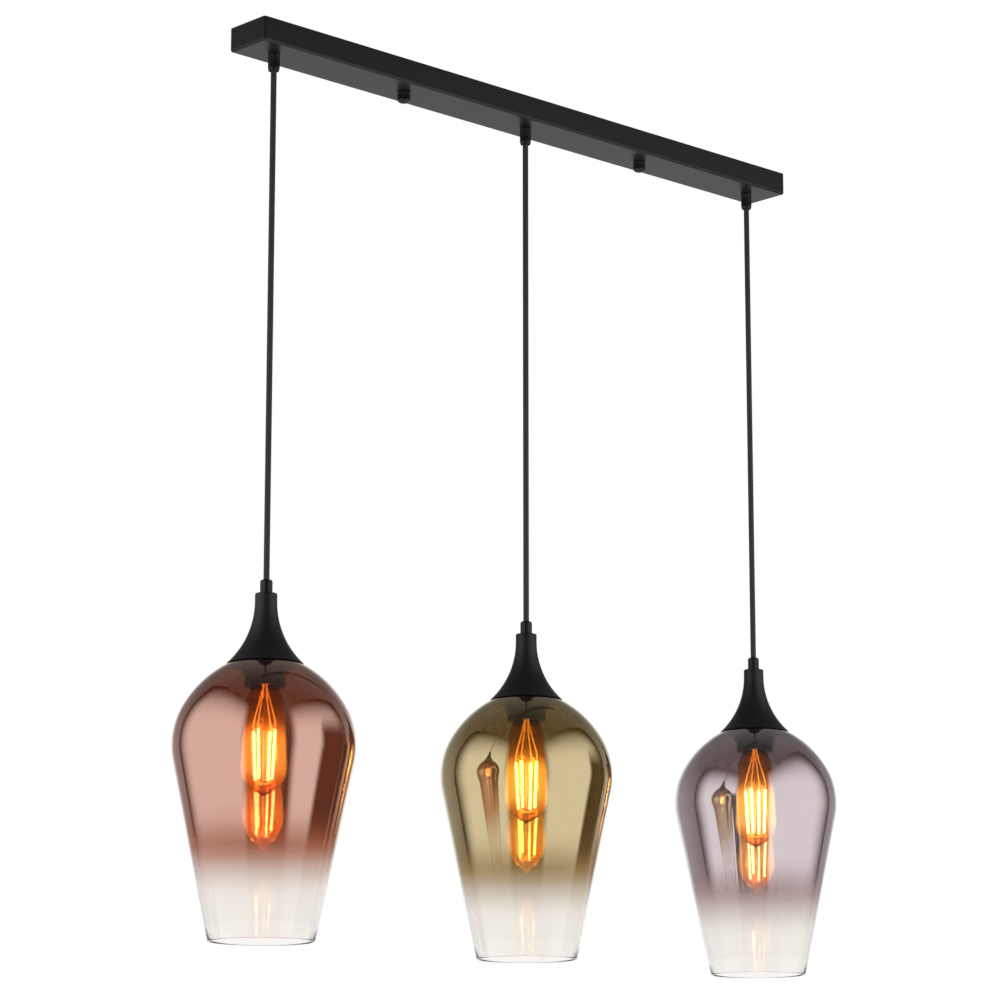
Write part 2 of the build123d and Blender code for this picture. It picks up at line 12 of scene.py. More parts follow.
import bmesh
import bpy
import numpy as np
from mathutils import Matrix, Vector


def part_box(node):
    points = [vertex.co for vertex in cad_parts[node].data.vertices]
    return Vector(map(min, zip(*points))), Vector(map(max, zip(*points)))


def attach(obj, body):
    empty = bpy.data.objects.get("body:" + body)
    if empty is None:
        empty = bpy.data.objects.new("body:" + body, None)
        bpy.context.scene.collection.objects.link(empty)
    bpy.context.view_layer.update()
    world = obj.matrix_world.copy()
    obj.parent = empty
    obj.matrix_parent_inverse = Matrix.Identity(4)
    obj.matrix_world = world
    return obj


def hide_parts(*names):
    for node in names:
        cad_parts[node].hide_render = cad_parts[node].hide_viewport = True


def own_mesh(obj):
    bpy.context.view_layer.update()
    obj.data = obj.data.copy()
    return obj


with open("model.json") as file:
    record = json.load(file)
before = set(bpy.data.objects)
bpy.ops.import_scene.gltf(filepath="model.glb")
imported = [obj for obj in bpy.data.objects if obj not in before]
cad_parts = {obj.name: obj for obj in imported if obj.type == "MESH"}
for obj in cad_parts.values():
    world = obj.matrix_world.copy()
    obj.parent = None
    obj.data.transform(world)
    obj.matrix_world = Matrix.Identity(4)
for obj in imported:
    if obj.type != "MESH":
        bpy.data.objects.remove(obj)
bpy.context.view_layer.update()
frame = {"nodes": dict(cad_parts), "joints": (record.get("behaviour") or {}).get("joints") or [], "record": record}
mm = 0.001
sides = ("left", "middle", "right")
joints = {joint["name"]: joint for joint in frame["joints"]}
hang = {side: Vector(joints[f"{side}_swing_front"]["pos_m"]) for side in sides}  # where each cable bends

# %% [markdown]
# Camera
#
# The picture is taken from below and from the left, with a long lens from about three and a half metres.
# A long lens keeps the cables nearly parallel and the three shades nearly the same size. The camera could
# aim at an empty with a constraint, but two angles say the same thing and leave nothing to track.

# %% Camera
camera_place = Vector((-2.392, -2.502, -1.157))
camera_bearing = radians(43.26)  # turned from +Y towards +X
camera_tilt = radians(11.80)  # looking up
camera_lens, camera_sensor = 121.0, 36.0  # millimetres
camera_data = bpy.data.cameras.new("camera")
camera_data.lens = camera_lens
camera_data.sensor_width = camera_sensor
camera = bpy.data.objects.new("camera", camera_data)
camera.location = camera_place
camera.rotation_euler = (pi / 2 + camera_tilt, 0, -camera_bearing)
bpy.context.scene.collection.objects.link(camera)
bpy.context.scene.camera = camera
print("Camera to the middle cable:", round((camera_place - hang["middle"]).length, 2), "m")

# %% [markdown]
# Shared helpers for shapes
#
# Nearly every piece is either a tube along a line or a shape turned on a lathe. So there are three helpers:
# one closes rings of points into a skin, one turns an outline round a pendant's axis, and one makes the
# finished piece, with smooth shading broken at sharp edges, and lets it ride on its CAD body.

# %% Skin and lathe
lathe_corners = 96


def skin(shape, rings, closed=False):
    """Joins rings of points, or single points on the axis, with faces. Returns the faces of each band."""
    rings = [[shape.verts.new(place) for place in ring] for ring in rings]
    pairs = list(zip(rings, rings[1:]))
    if closed:
        pairs.append((rings[-1], rings[0]))
    bands = []
    for first, second in pairs:
        count = max(len(first), len(second))
        band = []
        for number in range(count):
            after = (number + 1) % count
            corners = [first[number % len(first)], first[after % len(first)]]
            corners += [second[after % len(second)], second[number % len(second)]]
            band.append(shape.faces.new(list(dict.fromkeys(corners))))
        bands.append(band)
    return bands


def turned(shape, outline, centre, corners=lathe_corners, closed=False, relief=None):
    """Turns (radius, height) points round an upright axis; relief may change a radius by height and angle."""
    rings = []
    for radius, height in outline:
        if radius == 0:
            rings.append([(centre.x, centre.y, height)])
            continue
        ring = []
        for angle in np.linspace(0, 2 * pi, corners, endpoint=False):
            reach = radius if relief is None else relief(radius, height, angle)
            ring.append((centre.x + reach * cos(angle), centre.y + reach * sin(angle), height))
        rings.append(ring)
    return skin(shape, rings, closed)


print("Turned pieces have", lathe_corners, "corners, unless they need more or fewer")

# %% Finished piece
sharp_degrees = 40


def piece(name, shape, body, slot, *materials):
    """Makes an object of a finished shape, with these materials, on its CAD body. The slot is not used."""
    bmesh.ops.recalc_face_normals(shape, faces=shape.faces)
    mesh = bpy.data.meshes.new(name)
    shape.to_mesh(mesh)
    shape.free()
    mesh.shade_smooth()
    mesh.set_sharp_from_angle(angle=radians(sharp_degrees))
    for material in materials:
        mesh.materials.append(material)
    made = bpy.data.objects.new(name, mesh)
    bpy.context.scene.collection.objects.link(made)
    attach(made, body)
    return made


print("Edges sharper than", sharp_degrees, "degrees stay sharp")

# %% [markdown]
# Shared helpers for finishes
#
# Colours are written as sRGB hex values, as a paint chart gives them, and turned to the linear values that
# a shader needs. A finish is a Principled shader with a few nodes in front of it, so one helper adds a node
# with its settings and links, and another starts a material.

# %% Colour, node and material
def linear(code):
    """Linear RGBA of an sRGB hex colour."""
    shares = [int(code[start:start + 2], 16) / 255 for start in (1, 3, 5)]
    return (*[s / 12.92 if s <= 0.04045 else ((s + 0.055) / 1.055) ** 2.4 for s in shares], 1.0)


def add(tree, kind, inputs, stops=(), **settings):
    """Adds a node. Settings are its own; each input is a value or another node's output.

    The stops of a colour ramp are pairs of a place from 0 to 1 and a grey level or a colour.
    """
    node = tree.nodes.new(kind)
    for name, value in settings.items():
        setattr(node, name, value)
    for key, value in inputs.items():
        if isinstance(value, bpy.types.NodeSocket):
            tree.links.new(value, node.inputs[key])
        else:
            node.inputs[key].default_value = value
    if stops:
        elements = node.color_ramp.elements
        while len(elements) < len(stops):
            elements.new(0.5)
        for element, (place, level) in zip(elements, stops):
            element.position = place
            element.color = (level, level, level, 1) if isinstance(level, float) else level
    return node


def finish(name, **sockets):
    """Starts a material: its node tree and its Principled shader, with the constant sockets set."""
    material = bpy.data.materials.new(name)
    material.use_nodes = True
    shader = material.node_tree.nodes["Principled BSDF"]
    for key, value in sockets.items():
        shader.inputs[key.replace("_", " ")].default_value = value
    return material, material.node_tree, shader


print("Mid grey #808080 is", round(linear("#808080")[0], 3), "in linear light")

# %% [markdown]
# Black finishes
#
# Canopy and covers are sheet steel with a satin black powder coat. The powder melts on the hot steel and
# levels out, but never quite: the surface keeps a faint orange peel that breaks up reflections. The other
# blacks differ in how smooth they came out of the lathe, the mould or the extruder. The bumps of such a peel
# are about 0.6 mm apart, finer than a pixel here, so every grain is drawn four times as coarse.

# %% Black finishes
per_metre = 1 / mm
drawn_coarser = 4  # than the real grain, so that it shows
grain_detail, grain_strength = 3.0, 0.5
cloud_grains = 20  # the tone drifts over this many grains


def textured_black(name, colour, colour_two, roughness, grain, depth):
    """A black finish whose height and tone vary with a grain of that size and depth in millimetres."""
    material, tree, shader = finish(name, Roughness=roughness)
    place = add(tree, "ShaderNodeTexCoord", {}).outputs["Object"]
    scale = per_metre / (drawn_coarser * grain)
    peel = add(tree, "ShaderNodeTexNoise", {"Vector": place, "Scale": scale, "Detail": grain_detail})
    bump = add(tree, "ShaderNodeBump", {"Height": peel.outputs["Fac"], "Distance": depth * mm,
                                        "Strength": grain_strength})
    cloud = add(tree, "ShaderNodeTexNoise", {"Vector": place, "Scale": scale / cloud_grains})
    tone = add(tree, "ShaderNodeMix", {0: cloud.outputs["Fac"], 6: colour, 7: colour_two}, data_type="RGBA")
    tree.links.new(tone.outputs[2], shader.inputs["Base Color"])
    tree.links.new(bump.outputs["Normal"], shader.inputs["Normal"])
    return material


# Powder melted on to sheet steel: a satin face with a faint orange peel.
powder_coat = textured_black("black_powder_coat", linear("#1a1a1a"), linear("#222122"), roughness=0.42,
                             grain=0.6, depth=0.05)
# Turned from bar and blackened: darker, with tighter highlights.
turned_black = textured_black("black_turned_fittings", linear("#121212"), linear("#1a191a"), roughness=0.36,
                              grain=0.4, depth=0.03)
# Phenolic resin pressed in a polished mould: smooth, with a soft gloss.
phenolic = textured_black("black_moulded_phenolic", linear("#161415"), linear("#1d1a1a"), roughness=0.32,
                          grain=0.75, depth=0.02)
# PVC extruded over the cores: a dull, even skin that greys in the light.
cable_sheath = textured_black("black_pvc_sheath", linear("#353536"), linear("#3e3e3f"), roughness=0.55,
                              grain=1.5, depth=0.004)
print("Black finishes:", powder_coat.name, turned_black.name, phenolic.name, cable_sheath.name)

# %% [markdown]
# Cables
#
# Each shade hangs on its own round mains cable, pulled straight by the weight. The line is a NURBS curve
# along a few chosen points, with one six diameters from each grip, and the tube follows it. A beveled curve
# would be quicker, but this piece has to shorten when the shade is raised, and that works on a mesh.

# %% Line and tube
line_order = 3


def smooth_line(route):
    """Points along the NURBS line of a route."""
    data = bpy.data.curves.new("route", "CURVE")
    data.dimensions = "3D"
    spline = data.splines.new("NURBS")
    spline.points.add(len(route) - 1)
    for point, place in zip(spline.points, route):
        point.co = (*place, 1)
    spline.order_u = line_order
    spline.use_endpoint_u = True
    curve = bpy.data.objects.new("route", data)
    line = bpy.data.meshes.new_from_object(curve)
    points = [vertex.co.copy() for vertex in line.vertices]
    bpy.data.objects.remove(curve)
    bpy.data.meshes.remove(line)
    return points


def tube(shape, points, radius, corners):
    """Round tube along points, closed at both ends."""
    rings = []
    for number, place in enumerate(points):
        before = points[max(number - 1, 0)]
        after = points[min(number + 1, len(points) - 1)]
        turn = (after - before).to_track_quat("Z", "X")
        angles = np.linspace(0, 2 * pi, corners, endpoint=False)
        rings.append([place + turn @ Vector((radius * cos(a), radius * sin(a), 0)) for a in angles])
    return skin(shape, [[points[0]], *rings, [points[-1]]])


print("Tubes follow a NURBS line of order", line_order)

# %% Cables
cable_corners = 24
cable_gap = 0.1 * mm  # above the cable end inside the lower grip
ease_diameters = 6

for side in sides:
    low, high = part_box(f"cable_{side}")
    top = hang[side]
    foot = Vector((top.x, top.y, low.z + cable_gap))
    diameter = high.x - low.x
    ease = Vector((0, 0, ease_diameters * diameter))
    line = smooth_line([top, top - ease, foot + ease, foot])
    shape = bmesh.new()
    tube(shape, line, diameter / 2, cable_corners)
    cable = piece(f"hanging_cable_{side}", shape, f"{side}_cable", "cable_sheath", cable_sheath)
    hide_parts(f"cable_{side}")
    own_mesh(cable)

# %% [markdown]
# Metals and plain plastic
#
# Inside the canopy are a zinc plated bracket with its studs and nuts and a terminal block with brass screws.
# Inside each cover are a nipple, a lampholder and the bulb's nickel cap. Zinc plate shows a faint cloudy
# spangle, so its roughness varies over a few millimetres, and the other metals get finer clouds the same
# way. A metal keeps the default IOR: its colour is its reflection.

# %% Metals and plain plastic
cloud_detail = 4.0


def clouded(name, colour, colour_two, grain, smooth, rough, **sockets):
    """A finish whose colour and roughness drift with clouds of that size in millimetres."""
    material, tree, shader = finish(name, **sockets)
    place = add(tree, "ShaderNodeTexCoord", {}).outputs["Object"]
    cloud = add(tree, "ShaderNodeTexNoise", {"Vector": place, "Scale": per_metre / grain,
                                             "Detail": cloud_detail}).outputs["Fac"]
    tone = add(tree, "ShaderNodeMix", {0: cloud, 6: colour, 7: colour_two}, data_type="RGBA")
    gloss = add(tree, "ShaderNodeMapRange", {"Value": cloud, "To Min": smooth, "To Max": rough})
    tree.links.new(tone.outputs[2], shader.inputs["Base Color"])
    tree.links.new(gloss.outputs["Result"], shader.inputs["Roughness"])
    return material


# Zinc plated and passivated: a cloudy grey. Part metal only, as pure metal is black under a dark studio.
zinc_plate = clouded("zinc_plated_steel", linear("#aeb2b6"), linear("#c8cbcd"), grain=6, smooth=0.25,
                     rough=0.5, Metallic=0.7)
# Brass cut from bar and left bare: warm, and a little dull where it was touched.
bare_brass = clouded("bare_brass", linear("#b98f3e"), linear("#d1a955"), grain=5, smooth=0.2, rough=0.42,
                     Metallic=1.0)
# Nickel plate on rolled brass: smooth, and slightly warm for a grey metal.
nickel_plate = clouded("nickel_plated_brass", linear("#b5afa6"), linear("#cbc6bd"), grain=5, smooth=0.15,
                       rough=0.35, Metallic=1.0)
# Drawn nickel wire: dull along its length. Its glow stands in for the light that the filaments throw on it.
drawn_wire = clouded("drawn_nickel_wire", linear("#b5afa6"), linear("#cbc6bd"), grain=2, smooth=0.5,
                     rough=0.7, Metallic=1.0, Emission_Color=linear("#ffc04c"), Emission_Strength=8.0)
# Moulded polyamide, not dyed: off-white, with a soft gloss.
polyamide = clouded("white_polyamide", linear("#d6d2c6"), linear("#e2dfd6"), grain=8, smooth=0.4, rough=0.55)
print("Metals:", zinc_plate.name, bare_brass.name, nickel_plate.name, drawn_wire.name)
print("Plastic:", polyamide.name)

# %% [markdown]
# Finishes on the CAD pieces
#
# Where the CAD shape is already the real one, its object keeps its mesh and only gets a finish. The record
# says which finish each piece has, so one loop over its list dresses them all.

# %% Dress the CAD pieces
cad_finishes = {
    "black_powder_coat": powder_coat,
    "black_fittings": turned_black,
    "zinc_steel": zinc_plate,
    "cable_sheath": cable_sheath,
    "terminal_plastic": polyamide,
    "brass": bare_brass,
    "holder_plastic": phenolic,
    "nickel": nickel_plate,
}
dressed = 0
for entry in frame["record"]["subparts"]:
    if entry["material_slot"] in cad_finishes:
        node = frame["nodes"][entry["node"]]
        node.data.materials.clear()
        node.data.materials.append(cad_finishes[entry["material_slot"]])
        dressed += 1
print("CAD pieces dressed:", dressed)

# %% [markdown]
# Cap nuts and canopy grips
#
# Two cap nuts hold the canopy on its studs. They are turned from bar, with a straight knurl for the fingers
# and a domed end. The three grips that hold the cables have shallow flutes for the same reason. Both are
# lathe work, so the lathe gets a relief: a small change of radius with the angle.

# %% Knurled cap nuts
groove_corners = 6  # round each groove
run_out = 0.3 * mm  # over which a groove ends
knurl_count, knurl_depth = 40, 0.35 * mm
nut_edge = 0.6 * mm
nut_dome, nut_dome_steps = 3.5 * mm, 12
nut_plain = 1.4 * mm
nuts_low, nuts_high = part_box("cap_nuts")
nut_radius = (nuts_high.y - nuts_low.y) / 2
nut_places = [Vector((x, 0, 0)) for x in (nuts_low.x + nut_radius, nuts_high.x - nut_radius)]
knurl_top = nuts_high.z - nut_plain - run_out
knurl_foot = nuts_low.z + nut_dome + 2 * run_out


def fluted(count, depth, low, high):
    """Relief of grooves along the axis between two heights."""
    def relief(radius, height, angle):
        return radius - depth * (0.5 + 0.5 * cos(count * angle)) if low <= height <= high else radius
    return relief


def rounded_foot(radius, rise, height, steps):
    """Quarter ellipse from the wall of a turned piece to its axis."""
    angles = np.linspace(0, pi / 2, steps)
    return [(radius * cos(a), height + rise - rise * sin(a)) for a in angles[:-1]] + [(0, height)]


shape = bmesh.new()
for place in nut_places:
    outline = [(0, nuts_high.z), (nut_radius - nut_edge, nuts_high.z), (nut_radius, nuts_high.z - nut_edge)]
    outline += [(nut_radius, nuts_high.z - nut_plain), (nut_radius, knurl_top), (nut_radius, knurl_foot)]
    outline += rounded_foot(nut_radius, nut_dome, nuts_low.z, nut_dome_steps)
    turned(shape, outline, place, groove_corners * knurl_count,
           relief=fluted(knurl_count, knurl_depth, knurl_foot, knurl_top))
nuts = piece("knurled_cap_nuts", shape, "ceiling_fixture", "black_fittings", turned_black)
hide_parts("cap_nuts")
print("Cap nuts:", len(nut_places), "of", round(2 * nut_radius / mm, 1), "mm")

# %% Fluted canopy grips
flute_count, flute_depth = 24, 0.3 * mm
grip_bore = 3.2 * mm
grip_stem_radius = 5.0 * mm
grip_edge = 0.4 * mm
grip_collar = 2.5 * mm  # plain ring under the canopy
grip_taper = 4.0 * mm
grip_lip = ((5.5 * mm, 0.7 * mm), (5.1 * mm, 0.1 * mm), (4.6 * mm, 0.0))  # radius, height above the end
grip_throat = 0.5 * mm  # the bell mouth ends this far above the swing centre
grips_low, grips_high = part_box("canopy_grips")
grip_radius = (grips_high.y - grips_low.y) / 2
canopy_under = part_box("canopy")[0].z
flute_top = canopy_under - grip_collar - run_out
flute_foot = grips_low.z + grip_taper + 2 * run_out

shape = bmesh.new()
for side in sides:
    outline = [(grip_bore, grips_high.z), (grip_stem_radius, grips_high.z), (grip_stem_radius, canopy_under)]
    outline += [(grip_radius - grip_edge, canopy_under), (grip_radius, canopy_under - grip_edge)]
    outline += [(grip_radius, canopy_under - grip_collar), (grip_radius, flute_top)]
    outline += [(grip_radius, flute_foot), (grip_radius, grips_low.z + grip_taper)]
    outline += [(radius, grips_low.z + rise) for radius, rise in grip_lip]
    outline += [(grip_bore, hang[side].z + grip_throat)]
    turned(shape, outline, hang[side], groove_corners * flute_count, closed=True,
           relief=fluted(flute_count, flute_depth, flute_foot, flute_top))
grips = piece("fluted_canopy_grips", shape, "ceiling_fixture", "black_fittings", turned_black)
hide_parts("canopy_grips")
print("Canopy grips:", len(sides), "of", round(2 * grip_radius / mm, 1), "mm")

# %% [markdown]
# Glass of the shades
#
# A shade is clear blown glass. Metal is evaporated on its outside as a thin film that is partly mirror and
# partly window, and the film thins out to nothing above the mouth. One shader could be half metal and half
# glass, but then both halves share one colour, and a film reflects paler than it transmits. So there are two
# shaders, a mirror and a tinted window, mixed by how thick the film is at that height. The inside of the wall
# is bare glass, so the bulb's mirror image in the far wall keeps its brightness.

# %% Clear glass
glass_ior = 1.5
blown_wave = 45.0  # distance between the slow waves of blown glass, in millimetres
blown_depth, blown_strength = 0.3 * mm, 0.3


def clear_glass(name, colour, **sockets):
    """Smooth clear glass with the slow waves of blowing."""
    material, tree, shader = finish(name, Base_Color=colour, Roughness=0.0, Transmission_Weight=1.0,
                                    IOR=glass_ior, **sockets)
    place = add(tree, "ShaderNodeTexCoord", {}).outputs["Object"]
    wave = add(tree, "ShaderNodeTexNoise", {"Vector": place, "Scale": per_metre / blown_wave, "Detail": 0.0})
    bump = add(tree, "ShaderNodeBump", {"Height": wave.outputs["Fac"], "Distance": blown_depth,
                                        "Strength": blown_strength})
    tree.links.new(bump.outputs["Normal"], shader.inputs["Normal"])
    return material, tree, shader


# Blown and left bare: clear, with a trace of warmth.
bare_glass = clear_glass("clear_blown_glass", linear("#fbf9f6"))[0]
print("Glass:", bare_glass.name)

# %% Metallised glass
shade_low, shade_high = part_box("shade_middle")
mirror_shares = ((0.29, 0.0), (0.33, 0.1), (0.41, 0.52), (0.46, 0.62), (0.72, 0.62), (1.0, 0.84))
tint_shares = ((0.135, 0.0), (0.185, 0.06), (0.32, 0.92), (0.37, 1.0))  # a thin film still absorbs
bare_colour = linear("#f6f3ef")
film_names = {"left": "copper_glass", "middle": "gold_glass", "right": "smoke_glass"}
mirror_colours = {"left": "#f9cfbe", "middle": "#f7e4b5", "right": "#f7edf2"}
window_colours = {"left": "#ac6649", "middle": "#9e8350", "right": "#ac9190"}


def height_share(tree, low, high):
    """How far up a piece a point is between two heights, from 0 to 1."""
    place = add(tree, "ShaderNodeTexCoord", {}).outputs["Object"]
    height = add(tree, "ShaderNodeSeparateXYZ", {"Vector": place}).outputs["Z"]
    share = add(tree, "ShaderNodeMapRange", {"Value": height, "From Min": low, "From Max": high})
    return share.outputs["Result"]


def coated_glass(name, mirror_colour, window_colour):
    """Clear glass under a metal film, by the film's shares from the mouth up to the crown."""
    material, tree, window = clear_glass(name, window_colour)
    share = height_share(tree, shade_low.z, shade_high.z)
    tinted = add(tree, "ShaderNodeValToRGB", {"Fac": share}, stops=tint_shares).outputs["Color"]
    tint = add(tree, "ShaderNodeMix", {0: tinted, 6: bare_colour, 7: window_colour}, data_type="RGBA")
    tree.links.new(tint.outputs[2], window.inputs["Base Color"])
    mirror = add(tree, "ShaderNodeBsdfPrincipled", {"Base Color": mirror_colour, "Metallic": 1.0,
                                                    "Roughness": 0.0})
    mirrored = add(tree, "ShaderNodeValToRGB", {"Fac": share}, stops=mirror_shares).outputs["Color"]
    film = add(tree, "ShaderNodeMixShader", {0: mirrored, 1: window.outputs["BSDF"],
                                             2: mirror.outputs["BSDF"]})
    tree.links.new(film.outputs["Shader"], tree.nodes["Material Output"].inputs["Surface"])
    return material


# Metal evaporated on glass in a vacuum: as smooth as the glass, and pale in its reflections.
films = {side: coated_glass(f"{film_names[side]}_film", linear(mirror_colours[side]),
                            linear(window_colours[side])) for side in sides}
print("Films:", *[film.name for film in films.values()])

# %% [markdown]
# Shape of the shades
#
# The outline of a shade is a flat crown, three arcs that share tangents, and a straight taper to a rounded
# rim. A pen that goes on along arcs draws it as a glass maker's mould drawing would, once for the outside and
# once, set in by the wall, for the inside. The lathe does the rest.

# %% Shade outline
shade_wall = 3.0 * mm
shade_hole_radius = 21.0 * mm
shade_taper = 11.8  # degrees, like the turns below
belly_radius, belly_steps = 77.0 * mm, 36
shoulder_radius, shoulder_steps = 105.0 * mm, 24
crown_radius, crown_steps = 15.0 * mm, 12
crown_turn = 26.0
shoulder_turn = 60.0
rim_round, rim_steps = 1.3 * mm, 6
taper_steps = 12
crown_z, mouth_z = shade_high.z, shade_low.z
shade_radius = (shade_high.x - shade_low.x) / 2
belly_centre = shade_radius - belly_radius
shoulder_centre = belly_centre - (shoulder_radius - belly_radius) * sin(radians(shoulder_turn))
crown_flat = shoulder_centre + (shoulder_radius - crown_radius) * sin(radians(crown_turn))


def bend(line, heading, radius, turn, steps):
    """Goes on along an arc, to the left if the turn in degrees is positive. Returns the new heading."""
    hand = 1 if turn > 0 else -1
    start = radians(heading)
    centre_r = line[-1][0] - hand * radius * sin(start)
    centre_z = line[-1][1] + hand * radius * cos(start)
    for angle in np.linspace(start, start + radians(turn), steps + 1)[1:]:
        line.append((centre_r + hand * radius * sin(angle), centre_z - hand * radius * cos(angle)))
    return heading + turn


def shade_line(inset, rim_turn):
    """Half outline of the glass from its hole to the flat of its rim."""
    line = [(shade_hole_radius, crown_z - inset), (crown_flat, crown_z - inset)]
    heading = bend(line, 0, crown_radius - inset, -crown_turn, crown_steps)
    heading = bend(line, heading, shoulder_radius - inset, crown_turn - shoulder_turn, shoulder_steps)
    heading = bend(line, heading, belly_radius - inset, shoulder_turn - 90 - shade_taper, belly_steps)
    slope = radians(shade_taper)
    hand = 1 if rim_turn > 0 else -1
    stop = mouth_z + rim_round * (1 + hand * sin(slope))
    start_r, start_z = line[-1]
    for level in np.linspace(start_z, stop, taper_steps + 1)[1:]:
        line.append((start_r - (start_z - level) * tan(slope), level))
    bend(line, heading, rim_round, rim_turn, rim_steps)
    return line


outside = shade_line(0, shade_taper - 90)
inside = shade_line(shade_wall, shade_taper + 90)
print("Shade outline:", len(outside), "points outside,", len(inside), "inside")

# %% Shades
shade_corners = 160
coated_bands = len(outside) - rim_steps - 2  # the rim and the band above it stay bare

for side in sides:
    shape = bmesh.new()
    bands = turned(shape, outside + inside[::-1], hang[side], shade_corners, closed=True)
    for band in bands[:coated_bands]:
        for face in band:
            face.material_index = 1
    shade = piece(f"glass_shade_{side}", shape, f"{side}_pendant", film_names[side], bare_glass, films[side])
    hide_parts(f"shade_{side}")
print("Shade:", round(2 * shade_radius / mm), "mm across,", round((crown_z - mouth_z) / mm), "mm tall")

# %% [markdown]
# Bulbs
#
# The bulb is a slim envelope of clear amber glass with a blunt point. The amber is densest at the tip and at
# the neck. A lit bulb also seems to glow beside its filaments. The renderer loses most of that light, probably
# to its cap on indirect light, so the envelope has a little light of its own, painted along its height.

# %% Amber glass
cap_low, cap_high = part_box("bulb_cap_middle")
bulb_low, bulb_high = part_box("bulb_glass_middle")
bulb_tip, bulb_top = bulb_low.z, bulb_high.z
amber_tint = ((0.0, "#e0a468"), (0.1, "#f0c898"), (0.2, "#ffecc4"), (0.5, "#ffecc4"), (0.72, "#e2b47c"),
              (1.0, "#d29c60"))  # from tip to neck
amber_glow = ((0.0, "#50260a"), (0.12, "#b8741e"), (0.25, "#fac864"), (0.48, "#f0ba50"), (0.62, "#905610"),
              (0.8, "#301a06"), (1.0, "#180c04"))  # from tip to neck
amber_roughness = 0.06  # spreads the light of the filaments as glare does

# Glass blown with the colour in it: smooth and glossy outside. Its tint is set deeper towards the tip and the
# neck.
amber_glass, tree, shader = clear_glass("amber_glass", linear("#ffecc4"), Emission_Strength=1.0,
                                        Coat_Weight=1.0, Coat_Roughness=0.0)
shader.inputs["Roughness"].default_value = amber_roughness
share = height_share(tree, bulb_tip, cap_low.z)
for socket, tones in (("Base Color", amber_tint), ("Emission Color", amber_glow)):
    stops = [(place, linear(tone)) for place, tone in tones]
    painted = add(tree, "ShaderNodeValToRGB", {"Fac": share}, stops=stops)
    tree.links.new(painted.outputs["Color"], shader.inputs[socket])
print("Bulb glass:", amber_glass.name)

# %% Bulbs
neck_clearance = 0.05 * mm
cap_wall = 0.7 * mm
bulb_wall = 0.9 * mm
bulb_neck_below_cap = 4.0 * mm
bulb_flare_radius, bulb_flare_steps = 12.0 * mm, 10
bulb_flare_turn = 35.0  # degrees, like the lean and the turn below
bulb_shoulder_radius, bulb_shoulder_steps = 28.0 * mm, 16
bulb_side_lean = 3.0
bulb_side_length = 59.0 * mm
bulb_end_radius, bulb_end_steps = 26.0 * mm, 20
bulb_end_turn = 63.0
neck_radius = (cap_high.x - cap_low.x) / 2 - cap_wall - neck_clearance


def bulb_line(inset):
    """Half outline of the envelope from its neck to its tip."""
    line = [(neck_radius - inset, bulb_top), (neck_radius - inset, cap_low.z - bulb_neck_below_cap)]
    heading = bend(line, -90, bulb_flare_radius + inset, bulb_flare_turn, bulb_flare_steps)
    heading = bend(line, heading, bulb_shoulder_radius - inset, bulb_side_lean - bulb_flare_turn,
                   bulb_shoulder_steps)
    way = radians(heading)
    line.append((line[-1][0] + bulb_side_length * cos(way), line[-1][1] + bulb_side_length * sin(way)))
    bend(line, heading, bulb_end_radius - inset, -bulb_end_turn, bulb_end_steps)
    end_r, end_z = line[-1]
    line.append((0, end_z - end_r / tan(radians(bulb_end_turn - bulb_side_lean))))
    return line


envelope = bulb_line(0)[::-1] + bulb_line(bulb_wall)
for side in sides:
    shape = bmesh.new()
    turned(shape, envelope, hang[side])
    bulb = piece(f"amber_bulb_{side}", shape, f"{side}_bulb", "amber_glass", amber_glass)
    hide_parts(f"bulb_glass_{side}")
print("Bulb:", round(2 * max(radius for radius, height in envelope) / mm, 1), "mm across")

# %% [markdown]
# Inside of the bulbs
#
# A glass stem carries four nickel lead wires that spread like an umbrella, and a rod with four hooks. A
# filament stick is welded between each wire and its hook: a thin strip in yellow phosphor with bare metal
# ends. Its light has to come through the amber glass and the film, so it is far brighter than white.

# %% Stem outline
stem_corners = 32
stem_flare_height, stem_flare_steps = 1.5 * mm, 8
stem_tube_radius = 3.5 * mm
stem_tube_length = 16.0 * mm
stem_rod_radius = 1.0 * mm
stem_foot_margin = 11.5 * mm
stem_clearance = 0.1 * mm
stem_flare_radius = neck_radius - bulb_wall - stem_clearance
tube_foot = bulb_top - stem_tube_length
rod_foot = bulb_tip + stem_foot_margin
# Pressed and drawn out in a flame: clear and quite smooth.
stem_glass = clear_glass("clear_stem_glass", linear("#fff4e0"))[0]

stem_line = [(0, bulb_top), (stem_flare_radius, bulb_top), (stem_flare_radius, bulb_top - stem_flare_height)]
bend(stem_line, 180, stem_flare_radius - stem_tube_radius, 90, stem_flare_steps)
stem_line += [(stem_tube_radius, tube_foot), (stem_rod_radius, tube_foot), (stem_rod_radius, rod_foot)]
stem_line += [(0, rod_foot)]
print("Stem:", round((bulb_top - rod_foot) / mm), "mm long")

# %% Stem, wires and filament sticks
wire_corners, stick_corners = 10, 20
lead_radius = 0.6 * mm
lead_drop = 41.0 * mm
lead_sunk, lead_straight, lead_bend = 2.0 * mm, 3.0 * mm, 6.0 * mm  # in the stem, out of it, above a stick
hook_height = 1.5 * mm
hook_share = 0.6  # of the way out, where a hook starts to rise
filament_count = 4
filament_radius = 1.4 * mm
filament_top_spread = 12.0 * mm
filament_foot_spread = 9.0 * mm
filament_turn = radians(22)
stick_end = 3.0 * mm
stick_top = tube_foot - lead_drop
stick_foot = rod_foot + hook_height
# Phosphor moulded over a strip of diodes: matt, and lit all along.
lit_filament = finish("glowing_phosphor", Base_Color=linear("#ffd27a"), Roughness=0.6,
                      Emission_Color=linear("#fff2d2"), Emission_Strength=600.0)[0]


